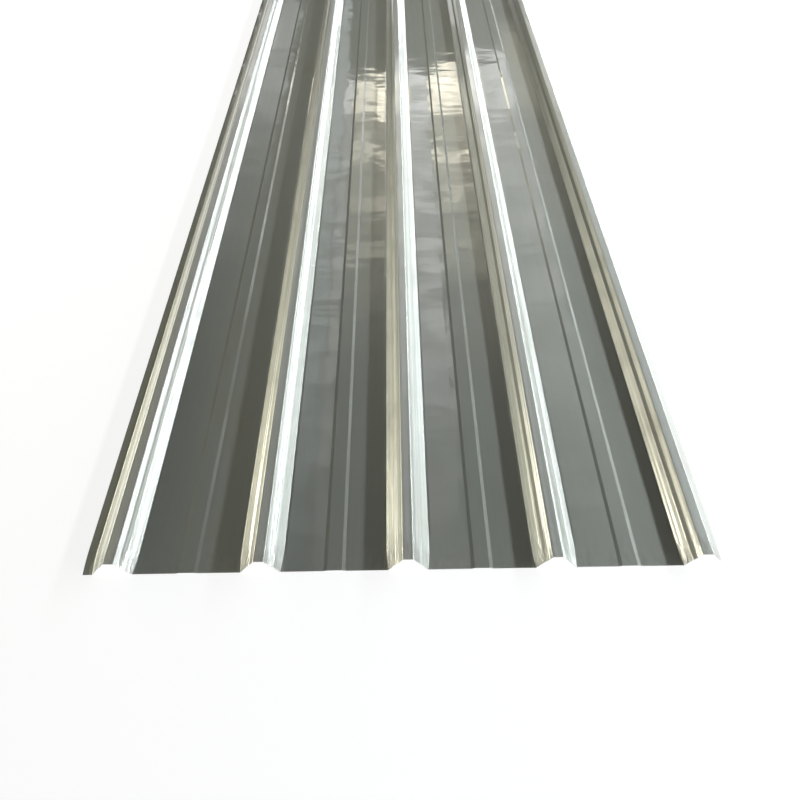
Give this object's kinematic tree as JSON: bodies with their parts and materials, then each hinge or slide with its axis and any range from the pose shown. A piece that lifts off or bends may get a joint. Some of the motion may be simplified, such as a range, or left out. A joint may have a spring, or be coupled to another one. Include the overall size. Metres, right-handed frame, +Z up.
{
  "type": "corrugated metal sheet",
  "caption": "Bright zinc-coated steel roofing sheet with tall trapezoidal ribs, a low stiffener along each flat pan, an underlap lip on one side and an overlap edge on the other.",
  "frame": {"origin": "bottom centre of the bounding box, on the plane that the pans rest on", "axes": "+Y along the ribs, +X across the ribs from the underlap lip to the overlap edge, +Z up, the way the ribs stand"},
  "size_m": [0.8874, 2.44, 0.0255],
  "materials": {
    "zinc_coated_steel": "bright mill-finish zinc coating, close to a mirror, with faint rolling streaks"
  },
  "bodies": {
    "root": {"corrugated_sheet": "zinc_coated_steel"}
  },
  "joints": []
}
